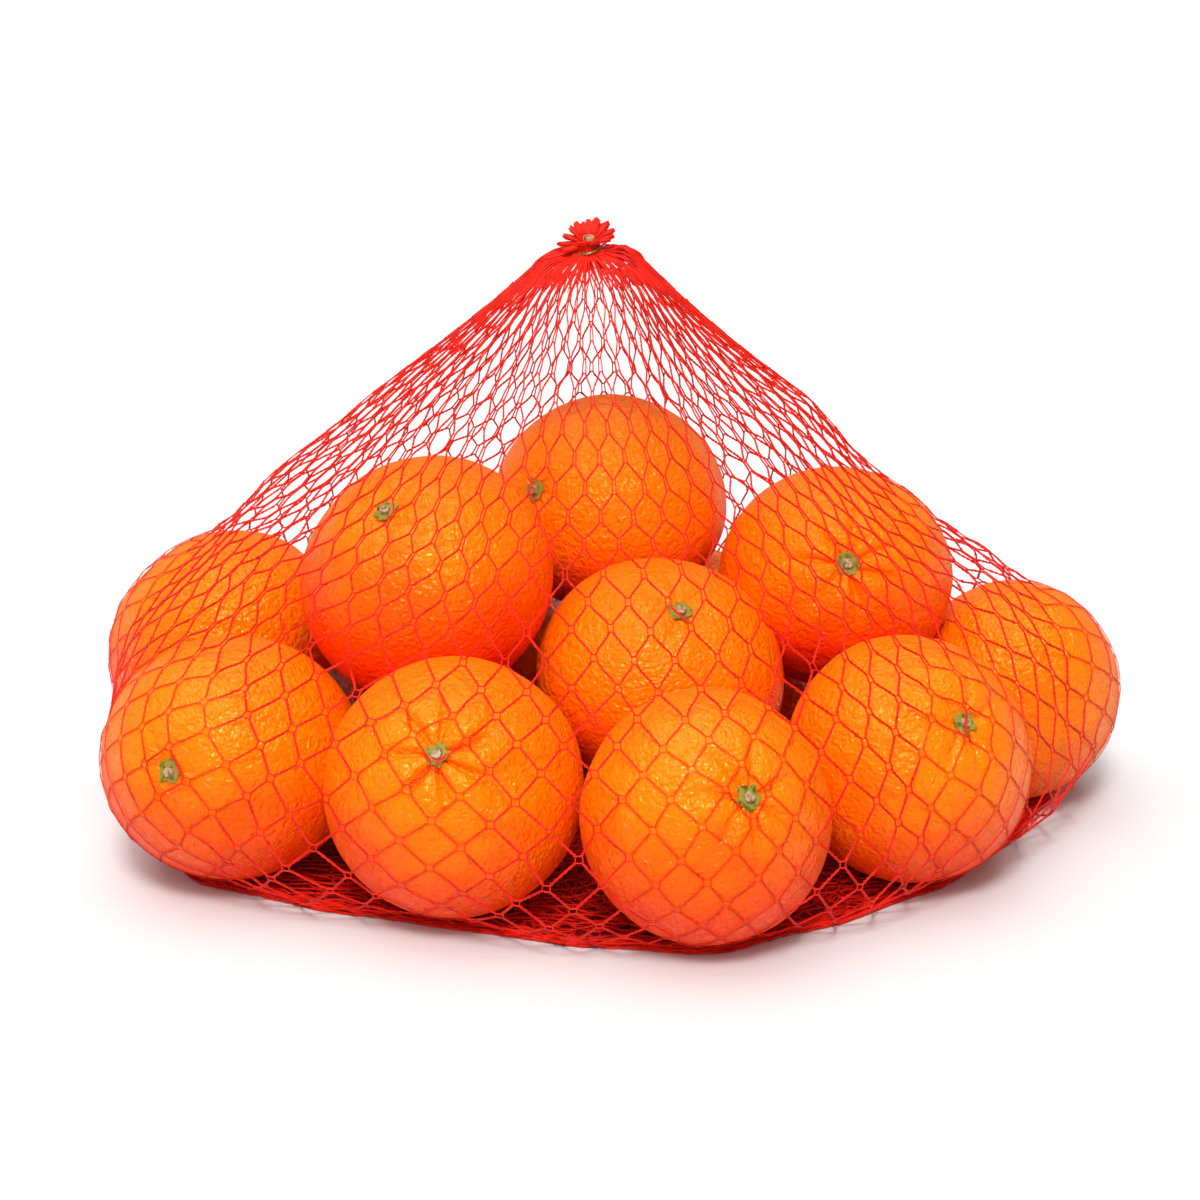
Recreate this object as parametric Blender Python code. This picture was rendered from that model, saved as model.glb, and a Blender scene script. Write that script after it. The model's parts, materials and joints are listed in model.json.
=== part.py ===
# A knitted net of clementines, drawn together at the top by a small metal clip.
# Metres, +Z up.  The bag rests on z = 0 and its front looks along -Y.
import math

import bmesh
import bpy
import mathutils
import numpy as np

MM = 0.001

# ---------------------------------------------------------------- clementines
# Each row: centre x, y, z, then the three half widths, all in mm, then the
# heading and the rise of the short axis in degrees.  The half width along the
# short axis is the last of the three numbers.
CLEMENTINES = {
    "left_back": (-101.2, 35.2, 37.5, 31.0, 31.0, 27.5, 178, 46),
    "left_upper": (-46.2, 4.2, 67.0, 32.0, 32.0, 27.0, -124, 52),
    "top": (-0.6, 42.2, 73.5, 30.0, 29.0, 27.0, -100, 70),
    "right_upper": (56.8, 24.2, 60.0, 29.5, 29.0, 27.0, -95, 70),
    "right_back": (103.2, 25.2, 28.3, 27.3, 27.3, 28.3, 0, 90),
    "left_front": (-93.2, -21.3, 29.8, 32.0, 31.0, 29.3, -90, 78),
    "front_left": (-38.2, -42.4, 31.2, 31.3, 31.3, 27.5, -98, 36),
    "middle": (11.8, -2.8, 44.0, 31.0, 31.0, 25.5, -72, 56),
    "front_right": (21.8, -56.8, 30.2, 30.2, 30.2, 26.5, -70, 28),
    "right_front": (72.3, -23.1, 30.2, 30.5, 30.5, 27.5, -62, 38),
    "hidden_left": (-43.9, 49.2, 32.2, 33.5, 31.5, 31.5, 40, 65),
    "hidden_right": (30.8, 57.2, 27.0, 27.5, 27.5, 26.0, 120, 60),
}

# ---------------------------------------------------------------------- net
NET_THICKNESS = 0.7 * MM      # the net stands this far off the peel
FRUIT_SEGMENTS, FRUIT_RINGS = 28, 15
NECK_X, NECK_Y, NECK_Z = -6.2 * MM, 25.2 * MM, 142.6 * MM
NECK_RADIUS = 1.95 * MM
NECK_RISE = 3.6 * MM          # length of bunched net that passes the clip
# The tent of net above the pile, in four stretches.  Each hangs from the neck and
# the summit of the top fruit, and lies on two or three fruits more.
TENT = (("left_back", "left_upper"), ("right_upper", "right_back"),
        ("right_back", "hidden_right"), ("hidden_left", "left_back"))
TENT_EDGE = 5 * MM            # radius of the rounded edge of the tent
TENT_TUCK = 0.22 * MM         # each stretch is tucked this far under the last
# Slack net and hollows between the fruit, as two plain fillings.  Each spans
# its fruits at a share of their size.
FLOOR_FRUIT = ("left_back", "left_front", "front_left", "front_right",
               "right_front", "right_back", "hidden_right", "hidden_left")
FLOOR_SHARE = 0.50
HEART_FRUIT = ("left_upper", "top", "right_upper", "middle", "hidden_right", "hidden_left")
HEART_SHARE = 0.30
FOOT_RADIUS, FOOT_HEIGHT = 13 * MM, 2.5 * MM   # net lying flat under the pile

# --------------------------------------------------------------------- clip
CLIP_RADIUS = 3.05 * MM       # centre of the wire
CLIP_WIRE = 0.7 * MM
CLIP_TILT = (math.radians(7), math.radians(-12))
CLIP_Z = NECK_Z + 1.9 * MM

# --------------------------------------------------------------------- tuft
TUFT_Z = NECK_Z + NECK_RISE + 0.4 * MM
TUFT_HUB = 1.7 * MM
# heading, rise, length (mm), tip half width (mm) of each splayed bunch
BUNCHES = (
    (-178, 4, 8.4, 1.5), (-150, 14, 7.6, 1.2), (-118, 10, 6.0, 1.0),
    (-84, 6, 5.4, 1.0), (-52, 12, 6.2, 1.0), (-22, 16, 7.4, 1.2),
    (4, 26, 7.9, 1.3), (34, 30, 7.2, 1.1), (70, 28, 6.8, 1.1),
    (104, 24, 6.6, 1.0), (138, 26, 7.0, 1.1), (165, 34, 7.4, 1.2),
)
CORE_RADIUS = 1.2 * MM
CORE_HEIGHT = 2.4 * MM

for thing in list(bpy.data.objects):
    bpy.data.objects.remove(thing, do_unlink=True)


def material(name, colour, roughness, metallic=0.0):
    made = bpy.data.materials.new(name)
    made.use_nodes = True
    shader = made.node_tree.nodes["Principled BSDF"]
    shader.inputs["Base Color"].default_value = (*colour, 1.0)
    shader.inputs["Roughness"].default_value = roughness
    shader.inputs["Metallic"].default_value = metallic
    return made


def heading(azimuth, rise):
    a, r = math.radians(azimuth), math.radians(rise)
    return mathutils.Vector(
        (math.cos(r) * math.cos(a), math.cos(r) * math.sin(a), math.sin(r)))


def take_modifiers(thing):
    """Replace the mesh of a thing by its evaluated mesh."""
    graph = bpy.context.evaluated_depsgraph_get()
    mesh = bpy.data.meshes.new_from_object(thing.evaluated_get(graph))
    thing.modifiers.clear()
    thing.data = mesh


def union(thing, other):
    joint = thing.modifiers.new("union", "BOOLEAN")
    joint.operation = "UNION"
    joint.solver = "EXACT"
    joint.object = other
    take_modifiers(thing)
    bpy.data.objects.remove(other, do_unlink=True)


def fruit_shape(name):
    """The centre of a fruit and the 3 x 3 matrix that turns a unit ball into it."""
    x, y, z, wide, deep, short, azimuth, rise = CLEMENTINES[name]
    turn = heading(azimuth, rise).to_track_quat("Z", "Y").to_matrix()
    shape = np.array(turn) @ np.diag([wide * MM, deep * MM, short * MM])
    return np.array([x, y, z]) * MM, shape


def ball_points(centre, shape, segments=20, rings=12):
    ball = bmesh.new()
    bmesh.ops.create_uvsphere(ball, u_segments=segments, v_segments=rings, radius=1.0)
    points = np.array([v.co for v in ball.verts]) @ shape.T + centre
    ball.free()
    points[:, 2] = np.maximum(points[:, 2], 0.0)
    return points


def ring_points(x, y, z, radius, count=24):
    turn = np.linspace(0, 2 * math.pi, count, endpoint=False)
    return np.stack([x + radius * np.cos(turn), y + radius * np.sin(turn),
                     np.full(count, z)], 1)


def stretched_over(name, clouds):
    """The convex solid that a skin makes when it is stretched over some points."""
    wrap = bmesh.new()
    for point in np.concatenate(clouds):
        wrap.verts.new(point)
    made = bmesh.ops.convex_hull(wrap, input=wrap.verts)
    spare = {g for g in made["geom_interior"] + made["geom_unused"]
             if isinstance(g, bmesh.types.BMVert)}
    bmesh.ops.delete(wrap, geom=list(spare), context="VERTS")
    bmesh.ops.recalc_face_normals(wrap, faces=wrap.faces)
    mesh = bpy.data.meshes.new(name)
    wrap.to_mesh(mesh)
    wrap.free()
    thing = bpy.data.objects.new(name, mesh)
    bpy.context.collection.objects.link(thing)
    return thing


# ------------------------------------------------------------------ net_bag
neck = np.array([NECK_X, NECK_Y, NECK_Z])


def touching_point(name):
    """Where a line from the neck touches the outer side of a fruit."""
    centre, shape = fruit_shape(name)
    size = np.linalg.norm(shape, axis=0).mean()
    to_neck = (neck - centre) / np.linalg.norm(neck - centre)
    outward = (centre - neck) * (1, 1, 0)
    outward = outward / np.linalg.norm(outward)
    across = outward - to_neck * (outward @ to_neck)
    across = across / np.linalg.norm(across)
    lean = size / np.linalg.norm(neck - centre)
    return point_under_peel(name, lean * to_neck + math.sqrt(1 - lean ** 2) * across)


def point_under_peel(name, way):
    """The middle of an edge ball that touches the net from inside, on one side."""
    centre, shape = fruit_shape(name)
    surface = 1 / np.linalg.norm(np.linalg.solve(shape, way))
    return centre + way * (surface + NET_THICKNESS - TENT_EDGE)


heart = [ball_points(centre, shape * HEART_SHARE) for centre, shape in
         map(fruit_shape, HEART_FRUIT)]
net_bag = stretched_over("net_bag", heart)
summit = point_under_peel("top", np.array((0, 0, 1)))
for number, stretch in enumerate(TENT):
    tuck = number * TENT_TUCK
    edge_ball = np.eye(3) * (TENT_EDGE - tuck)
    held_at = [summit] + [touching_point(name) for name in stretch]
    hung = [ring_points(NECK_X, NECK_Y, NECK_Z - tuck, NECK_RADIUS - tuck / 2)]
    hung += [ball_points(point, edge_ball, 12, 8) for point in held_at]
    union(net_bag, stretched_over("tent", hung))
floor = [ball_points(centre, shape * FLOOR_SHARE) for centre, shape in
         map(fruit_shape, FLOOR_FRUIT)]
union(net_bag, stretched_over("floor", floor))
foot = [ring_points(*fruit_shape(name)[0][:2], level, FOOT_RADIUS)
        for name in FLOOR_FRUIT for level in (0, FOOT_HEIGHT)]
union(net_bag, stretched_over("foot", foot))
for name in CLEMENTINES:
    centre, shape = fruit_shape(name)
    grown = shape + NET_THICKNESS * shape / np.linalg.norm(shape, axis=0)
    bpy.ops.mesh.primitive_uv_sphere_add(
        segments=FRUIT_SEGMENTS, ring_count=FRUIT_RINGS, radius=1.0)
    ball = bpy.context.object
    for vertex in ball.data.vertices:
        vertex.co = centre + grown @ np.array(vertex.co)
        vertex.co.z = max(vertex.co.z, 0.0)
    union(net_bag, ball)
bpy.ops.mesh.primitive_cylinder_add(
    vertices=24, radius=NECK_RADIUS, depth=NECK_RISE + 2 * MM,
    location=(NECK_X, NECK_Y, NECK_Z + NECK_RISE / 2 - 1 * MM))
union(net_bag, bpy.context.object)
net_bag.data.materials.clear()
net_bag.data.materials.append(material("net_red", (0.72, 0.02, 0.02), 0.5))

# --------------------------------------------------------------------- clip
bpy.ops.mesh.primitive_torus_add(
    major_segments=40, minor_segments=12, major_radius=CLIP_RADIUS,
    minor_radius=CLIP_WIRE, location=(NECK_X, NECK_Y, CLIP_Z),
    rotation=(CLIP_TILT[0], CLIP_TILT[1], 0))
clip = bpy.context.object
clip.name = "clip"
clip.data.materials.append(material("clip_brass", (0.33, 0.24, 0.10), 0.35, 1.0))

# --------------------------------------------------------------------- tuft
bpy.ops.mesh.primitive_uv_sphere_add(
    segments=20, ring_count=12, radius=TUFT_HUB,
    location=(NECK_X, NECK_Y, TUFT_Z + TUFT_HUB))
tuft = bpy.context.object
tuft.name = "tuft"
hub = mathutils.Vector((NECK_X, NECK_Y, TUFT_Z + TUFT_HUB))
for azimuth, rise, length, tip in BUNCHES:
    way = heading(azimuth, rise)
    bpy.ops.mesh.primitive_cone_add(
        vertices=10, radius1=0.55 * MM, radius2=tip * MM, depth=length * MM,
        location=hub + way * (length * MM / 2),
        rotation=way.to_track_quat("Z", "Y").to_euler())
    union(tuft, bpy.context.object)
tuft.data.materials.clear()
tuft.data.materials.append(material("tuft_red", (0.80, 0.02, 0.02), 0.5))

# --------------------------------------------------------------------- core
bpy.ops.mesh.primitive_cylinder_add(
    vertices=24, radius=CORE_RADIUS, depth=CORE_HEIGHT,
    location=(NECK_X, NECK_Y, TUFT_Z + 2 * TUFT_HUB + 0.4 * MM + CORE_HEIGHT / 2))
core = bpy.context.object
core.name = "core"
core.data.materials.append(material("core_tan", (0.55, 0.36, 0.17), 0.6))
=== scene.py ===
import json
import math

import bmesh
import bpy
import numpy as np
from mathutils import Matrix, Vector, noise
from mathutils.bvhtree import BVHTree

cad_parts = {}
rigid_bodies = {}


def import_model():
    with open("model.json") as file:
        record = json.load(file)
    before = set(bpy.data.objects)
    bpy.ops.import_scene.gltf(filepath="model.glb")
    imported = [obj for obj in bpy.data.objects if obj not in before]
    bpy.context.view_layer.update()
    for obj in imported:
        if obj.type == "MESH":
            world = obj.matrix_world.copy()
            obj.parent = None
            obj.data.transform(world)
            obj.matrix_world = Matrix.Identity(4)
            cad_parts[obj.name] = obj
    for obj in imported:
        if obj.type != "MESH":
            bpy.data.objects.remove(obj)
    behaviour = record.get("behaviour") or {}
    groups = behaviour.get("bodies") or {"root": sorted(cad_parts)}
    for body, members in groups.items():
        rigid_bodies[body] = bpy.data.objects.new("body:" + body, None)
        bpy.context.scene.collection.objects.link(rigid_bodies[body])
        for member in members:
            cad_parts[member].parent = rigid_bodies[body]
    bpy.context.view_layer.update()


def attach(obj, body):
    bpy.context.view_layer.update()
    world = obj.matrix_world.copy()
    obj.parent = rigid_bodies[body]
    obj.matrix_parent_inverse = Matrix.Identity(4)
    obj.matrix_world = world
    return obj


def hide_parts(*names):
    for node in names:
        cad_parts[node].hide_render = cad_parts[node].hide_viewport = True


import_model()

# ------------------------------------------------------------------ the studio
# A white table under a pale even sky, with a wide soft lamp in front and above,
# weaker ones overhead, low in front and on the left, and a long lens that looks
# slightly down.
MM = 0.001

VIEW_DOWN = math.radians(21)
VIEW_DISTANCE = 0.800
VIEW_TARGET = Vector((-0.0032, -0.0188, 0.070))
PICTURE_WIDTH_PX = 1200
FOCAL_PX = 3315
SENSOR = 36.0


def place_by_heading(azimuth, rise):
    """Unit vector for a compass heading and a rise, both in degrees."""
    a, r = math.radians(azimuth), math.radians(rise)
    return Vector((math.cos(r) * math.cos(a), math.cos(r) * math.sin(a), math.sin(r)))


camera = bpy.data.objects.new("camera", bpy.data.cameras.new("camera"))
bpy.context.collection.objects.link(camera)
camera.data.sensor_width = SENSOR
camera.data.lens = SENSOR * FOCAL_PX / PICTURE_WIDTH_PX
camera.data.clip_start = 0.01
camera.location = VIEW_TARGET - VIEW_DISTANCE * Vector(
    (0, math.cos(VIEW_DOWN), -math.sin(VIEW_DOWN)))
camera.rotation_euler = (math.pi / 2 - VIEW_DOWN, 0, 0)
bpy.context.scene.camera = camera
bpy.context.scene.view_settings.view_transform = "Standard"


def soft_sun(name, azimuth, rise, spread, strength):
    """A very large, far lamp: the same light everywhere on the table."""
    lamp = bpy.data.objects.new(name, bpy.data.lights.new(name, "SUN"))
    bpy.context.collection.objects.link(lamp)
    lamp.data.angle = math.radians(spread)
    lamp.data.energy = strength
    lamp.rotation_euler = place_by_heading(azimuth, rise).to_track_quat("Z", "Y").to_euler()


soft_sun("front_lamp", -94, 58, 36, 1.0)
soft_sun("small_lamp", -94, 58, 15, 1.8)
soft_sun("overhead_lamp", 120, 76, 60, 1.7)
soft_sun("left_lamp", -165, 42, 60, 0.45)
soft_sun("low_lamp", -88, 14, 50, 0.45)

sky = bpy.data.worlds.new("sky")
sky.use_nodes = True
sky.node_tree.nodes["Background"].inputs["Color"].default_value = (1, 1, 1, 1)
sky.node_tree.nodes["Background"].inputs["Strength"].default_value = 0.24
bpy.context.scene.world = sky

bpy.ops.mesh.primitive_plane_add(size=12, location=(0, 0, 0))
table = bpy.context.object
table.name = "table"
white = bpy.data.materials.new("white_table")
white.use_nodes = True
white.node_tree.nodes["Principled BSDF"].inputs["Base Color"].default_value = (
    0.66, 0.66, 0.66, 1)
white.node_tree.nodes["Principled BSDF"].inputs["Roughness"].default_value = 0.7
table.data.materials.append(white)


# ------------------------------------------------------------- the clementines
# Twelve ripe clementines, each a little different: squat, dimpled round the
# stem, furrowed where the loose peel is drawn in, and pitted all over with
# oil glands.  They lie on each other as they fell into the net.
#
# Each row: centre x, y, z in mm; half widths in mm, the last along the short
# axis; heading and rise of the short axis; heading and rise of the stem end;
# depth of the furrows in mm; ripeness, from 0, yellow orange, to 1, deep orange.
CLEMENTINES = {
    "left_back": ((-101.2, 35.2, 37.5), (31.0, 31.0, 27.5), (178, 46), (-2, -46), 0.3, 0.40),
    "left_upper": ((-46.2, 4.2, 67.0), (32.0, 32.0, 27.0), (-124, 52), (-129, 56), 0.5, 0.64),
    "top": ((-0.6, 42.2, 73.5), (30.0, 29.0, 27.0), (-100, 70), (-137, 22), 0.3, -0.04),
    "right_upper": ((56.8, 24.2, 60.0), (29.5, 29.0, 27.0), (-95, 70), (-88, 29), 1.6, 0.40),
    "right_back": ((103.2, 25.2, 28.3), (27.3, 27.3, 28.3), (0, 90), (35, -20), 0.3, -0.20),
    "left_front": ((-93.2, -21.3, 29.8), (32.0, 31.0, 29.3), (-90, 78), (-114, 16), 0.35, 0.30),
    "front_left": ((-38.2, -42.4, 31.2), (31.3, 31.3, 27.5), (-98, 36), (-98, 40), 1.7, 0.25),
    "middle": ((11.8, -2.8, 44.0), (31.0, 31.0, 25.5), (-72, 56), (-68, 60), 0.5, 0.35),
    "front_right": ((21.8, -56.8, 30.2), (30.2, 30.2, 26.5), (-70, 28), (-66, 32), 1.3, 0.48),
    "right_front": ((72.3, -23.1, 30.2), (30.5, 30.5, 27.5), (-62, 38), (-57, 39), 0.7, 0.22),
    "hidden_left": ((-43.9, 49.2, 32.2), (33.5, 31.5, 31.5), (40, 65), (60, 30), 0.4, 0.40),
    "hidden_right": ((30.8, 57.2, 27.0), (27.5, 27.5, 26.0), (120, 60), (110, 25), 0.4, 0.45),
}
FRUIT_MERIDIANS, FRUIT_RINGS = 112, 72
FRUIT_RADIUS = 30               # in mm, of a middling one
DIMPLE_DEPTH, DIMPLE_REACH = 2.1 * MM, math.radians(13)
NAVEL_DEPTH, NAVEL_REACH = 0.7 * MM, math.radians(16)
FURROWS = 7
FURROW_FROM, FURROW_REACH = math.radians(14), math.radians(15)
FURROW_START = math.radians(7)
FURROW_CUT, FURROW_SWELL = 1.5, 0.7   # for each mm of the depth in the table
FURROW_SWAY = 2.2               # in radians, how far the furrows leave even steps
LUMP_HEIGHT, LUMP_SIZE = 0.45 * MM, 17 * MM
WRINKLE_HEIGHT, WRINKLE_SIZE = 0.10 * MM, 3.2 * MM


def ellipsoid(widths, axis):
    """The matrix that turns a unit ball into a squat fruit."""
    turn = place_by_heading(*axis).to_track_quat("Z", "Y").to_matrix()
    turn = np.array(turn)
    return turn @ np.diag(widths) @ turn.T * MM


def deselect_all():
    for thing in bpy.data.objects:
        thing.select_set(False)


def peel_height(direction, stem, side, furrow_depth, seed):
    """How far the peel stands out from the plain ellipsoid, in metres."""
    from_stem = direction.angle(stem)
    round_stem = math.atan2(direction.dot(side.cross(stem)), direction.dot(side))
    place = direction * FRUIT_RADIUS * MM
    drift = Vector((seed * 3.7, seed * 1.9, seed * 5.3))
    height = LUMP_HEIGHT * noise.noise(place / LUMP_SIZE + drift)
    height += WRINKLE_HEIGHT * noise.noise(place / WRINKLE_SIZE + drift)
    height -= DIMPLE_DEPTH * math.exp(-((from_stem / DIMPLE_REACH) ** 2))
    from_navel = math.pi - from_stem
    height -= NAVEL_DEPTH * math.exp(-((from_navel / NAVEL_REACH) ** 2))
    sway = FURROW_SWAY * noise.noise(Vector((round_stem * 0.8, from_stem * 2.0, seed * 2.3)))
    fold = 0.5 + 0.5 * math.cos(FURROWS * round_stem + sway)
    uneven = 0.55 + 0.9 * abs(noise.noise(
        Vector((math.cos(round_stem) * 1.7, math.sin(round_stem) * 1.7, seed))))
    near = math.exp(-(((from_stem - FURROW_FROM) / FURROW_REACH) ** 2))
    near *= min(1.0, from_stem / FURROW_START)
    height -= FURROW_CUT * furrow_depth * MM * uneven * near * fold ** 3
    height += FURROW_SWELL * furrow_depth * MM * near
    return height


def clementine(name, centre, widths, axis, stem_end, furrow_depth, seed):
    shape = ellipsoid(widths, axis)
    stem = place_by_heading(*stem_end)
    side = stem.orthogonal().normalized()
    deselect_all()
    bpy.ops.mesh.primitive_uv_sphere_add(
        segments=FRUIT_MERIDIANS, ring_count=FRUIT_RINGS, radius=1.0)
    fruit = bpy.context.object
    fruit.name = "clementine_" + name
    to_stem = stem.to_track_quat("Z", "Y").to_matrix()
    middle = Vector(centre) * MM
    squat = shape.tolist()
    for vertex in fruit.data.vertices:
        direction = to_stem @ vertex.co
        direction.normalize()
        out = Vector([sum(row[k] * direction[k] for k in range(3)) for row in squat])
        rise = peel_height(direction, stem, side, furrow_depth, seed)
        vertex.co = middle + out + out.normalized() * rise
    fruit.data.shade_smooth()
    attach(fruit, "root")
    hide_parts("net_bag")
    return fruit


class Wire:
    """A shader socket that can stand in a sum, so a pattern reads as a formula."""

    def __init__(self, tree, socket=None):
        self.tree, self.socket = tree, socket

    def node(self, kind, settings=None, inputs=None, output=0):
        made = self.tree.nodes.new(kind)
        for key, value in (settings or {}).items():
            if key == "stops":
                ramp = made.color_ramp
                while len(ramp.elements) < len(value):
                    ramp.elements.new(0.5)
                for element, (position, colour) in zip(ramp.elements, value):
                    element.position, element.color = position, colour
            else:
                setattr(made, key, value)
        for key, value in (inputs or {}).items():
            if isinstance(value, Wire):
                self.tree.links.new(value.socket, made.inputs[key])
            else:
                made.inputs[key].default_value = value
        return Wire(self.tree, made.outputs[output])

    def math(self, operation, first, second, clamp=False):
        return self.node("ShaderNodeMath", {"operation": operation, "use_clamp": clamp},
                         {0: first, 1: second})

    def __add__(self, other):
        return self.math("ADD", self, other)

    __radd__ = __add__

    def __sub__(self, other):
        return self.math("SUBTRACT", self, other)

    def __rsub__(self, other):
        return self.math("SUBTRACT", other, self)

    def __mul__(self, other):
        return self.math("MULTIPLY", self, other)

    __rmul__ = __mul__

    def __pow__(self, other):
        return self.math("POWER", self, other)

    def clamped(self):
        return self.math("ADD", self, 0.0, clamp=True)

    def mix(self, other, factor):
        """This colour turned towards another by a factor."""
        return self.node("ShaderNodeMix", {"data_type": "RGBA"},
                         {"Factor": factor, 6: self, 7: other}, output=2)


def new_material(name, **constants):
    """A material with a Principled BSDF, its fixed values, and a Wire to build on."""
    made = bpy.data.materials.new(name)
    made.use_nodes = True
    shader = made.node_tree.nodes["Principled BSDF"]
    for key, value in constants.items():
        shader.inputs[key.replace("_", " ")].default_value = value
    return made, shader, Wire(made.node_tree)


def plug(wire, shader, socket):
    wire.tree.links.new(wire.socket, shader.inputs[socket])


def plug_relief(height, shader, strength, distance):
    """Fine relief that is too small for the mesh."""
    plug(height.node("ShaderNodeBump", {}, {
        "Strength": strength, "Distance": distance, "Height": height}), shader, "Normal")


PEEL_YELLOW = (0.98, 0.178, 0.0010, 1)
PEEL_ORANGE = (0.98, 0.104, 0.0008, 1)
PEEL_DEEP = (0.96, 0.046, 0.0004, 1)
PEEL_GLAND = (0.93, 0.070, 0.0005, 1)
PEEL_SHINE = (1.0, 0.72, 0.20, 1)
PAINTED_SHADE_BELOW = 1.10             # painted shade: the underside is coloured a deeper orange than the top, for the shade beneath
GLANDS_PER_METRE = 760
PEBBLES_PER_METRE = 640
BLOTCHES_PER_METRE = 55
BLOTCH_STRENGTH = 1.1           # how far a blotch moves the ripeness
PEBBLE_HEIGHT, PIT_SHARE = 0.80 * MM, 0.22
PEEL_ROUGHNESS, ROUGHNESS_VARIES = 0.17, 0.2
RIM_ROUGHNESS = 0.6             # the pitted peel doesn't mirror at a flat angle


def peel_material(name, middle_level, ripeness):
    made, shader, wire = new_material(
        name, Subsurface_Weight=0.85, Subsurface_Scale=0.0022, Specular_IOR_Level=0.42,
        Specular_Tint=PEEL_SHINE)
    shader.subsurface_method = "BURLEY"
    shader.inputs["Subsurface Radius"].default_value = (1.0, 0.20, 0.05)
    place = wire.node("ShaderNodeTexCoord", output=3)
    blotch = wire.node("ShaderNodeTexNoise", {}, {
        "Vector": place, "Scale": BLOTCHES_PER_METRE, "Detail": 2.0, "Roughness": 0.55})
    gland = wire.node("ShaderNodeTexVoronoi", {"feature": "F1"}, {
        "Vector": place, "Scale": GLANDS_PER_METRE, "Randomness": 0.9})
    pebble = wire.node("ShaderNodeTexNoise", {}, {
        "Vector": place, "Scale": PEBBLES_PER_METRE, "Detail": 0.5, "Roughness": 0.4,
        "Distortion": 0.9})
    pit = (1.0 - gland * 2.6).clamped()
    level = wire.node("ShaderNodeSeparateXYZ", {}, {"Vector": place}, output=2)
    # painted shade: lower on the fruit the colour runs towards the deep stop, standing in for the
    # shade on the underside; ripeness and blotches are the peel's own tone
    below = (middle_level - level) * (1 / (FRUIT_RADIUS * MM))
    ripeness_and_shade = (ripeness + (blotch - 0.5) * BLOTCH_STRENGTH + below * PAINTED_SHADE_BELOW).clamped()
    colour = wire.node("ShaderNodeValToRGB", {"stops": (
        (0.0, PEEL_YELLOW), (0.5, PEEL_ORANGE), (1.0, PEEL_DEEP))}, {"Fac": ripeness_and_shade})
    colour = colour.mix(PEEL_GLAND, pit * 0.2)
    plug(colour, shader, "Base Color")
    facing = wire.node("ShaderNodeLayerWeight", {}, {"Blend": 0.5}, output=1)
    rough = PEEL_ROUGHNESS + (blotch - 0.5) * ROUGHNESS_VARIES + facing ** 3.0 * RIM_ROUGHNESS
    plug(rough.clamped(), shader, "Roughness")
    plug_relief(pebble - pit * PIT_SHARE, shader, 1.0, PEBBLE_HEIGHT)
    return made


fruits = []
for seed, (name, row) in enumerate(CLEMENTINES.items()):
    centre, widths, axis, stem_end, furrow_depth, ripeness = row
    fruit = clementine(name, centre, widths, axis, stem_end, furrow_depth, seed)
    fruit.data.materials.append(peel_material("peel_" + name, centre[2] * MM, ripeness))
    fruits.append(fruit)


# --------------------------------------------------------------- the stem ends
# Where the stalk was cut each fruit keeps its calyx, a small green scale with
# five ragged lobes, and a pale woody button in the middle of it.  Both are grown
# on and sit down in the dimple of the peel.
CALYX_LOBES = 5
CALYX_LIFT = (0.2, 0.3)         # in mm, plain and for each mm of furrow
CALYX_RADIUS, CALYX_THICKNESS = 3.1 * MM, 0.6 * MM
CALYX_LOBE_SHARE, CALYX_RAGGED = 0.16, 0.34
BUTTON_RADIUS, BUTTON_HEIGHT = 1.25 * MM, 1.3 * MM
BUTTON_HOLLOW, BUTTON_SWELL = 0.45 * MM, 0.22


def stem_frame(name):
    """The place on the peel where the stalk was, and the frame of axes there."""
    centre, widths, axis, stem_end, furrow_depth, _ = CLEMENTINES[name]
    stem = place_by_heading(*stem_end)
    out = Vector(ellipsoid(widths, axis) @ np.array(stem))
    lift = (CALYX_LIFT[0] + CALYX_LIFT[1] * furrow_depth) * MM
    seat = Vector(centre) * MM + out * (1 - (DIMPLE_DEPTH - lift) / out.length)
    normal = Vector(np.linalg.solve(ellipsoid(widths, axis), np.array(stem))).normalized()
    return seat, normal.to_track_quat("Z", "Y").to_matrix()


def calyx(name, seed):
    seat, turn = stem_frame(name)
    deselect_all()
    bpy.ops.mesh.primitive_uv_sphere_add(segments=60, ring_count=14, radius=1.0)
    scale = bpy.context.object
    scale.name = "calyx_" + name
    for vertex in scale.data.vertices:
        x, y, z = vertex.co
        flat = math.hypot(x, y)
        around = math.atan2(y, x)
        lobe = 0.5 + 0.5 * math.cos(CALYX_LOBES * around + seed)
        ragged = noise.noise(Vector((math.cos(around) * 2, math.sin(around) * 2, seed)))
        reach = CALYX_RADIUS * (1 - CALYX_LOBE_SHARE + CALYX_LOBE_SHARE * lobe ** 0.6
                                + CALYX_RAGGED * ragged)
        curl = 0.35 * MM * flat ** 3 * (0.5 + ragged) + 0.25 * MM * flat ** 2
        thick = CALYX_THICKNESS * (1.1 - 0.45 * flat)
        local = Vector((math.cos(around) * flat * reach, math.sin(around) * flat * reach,
                        z * thick + curl))
        vertex.co = seat + turn @ local
    scale.data.shade_smooth()
    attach(scale, "root")
    return scale


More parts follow.
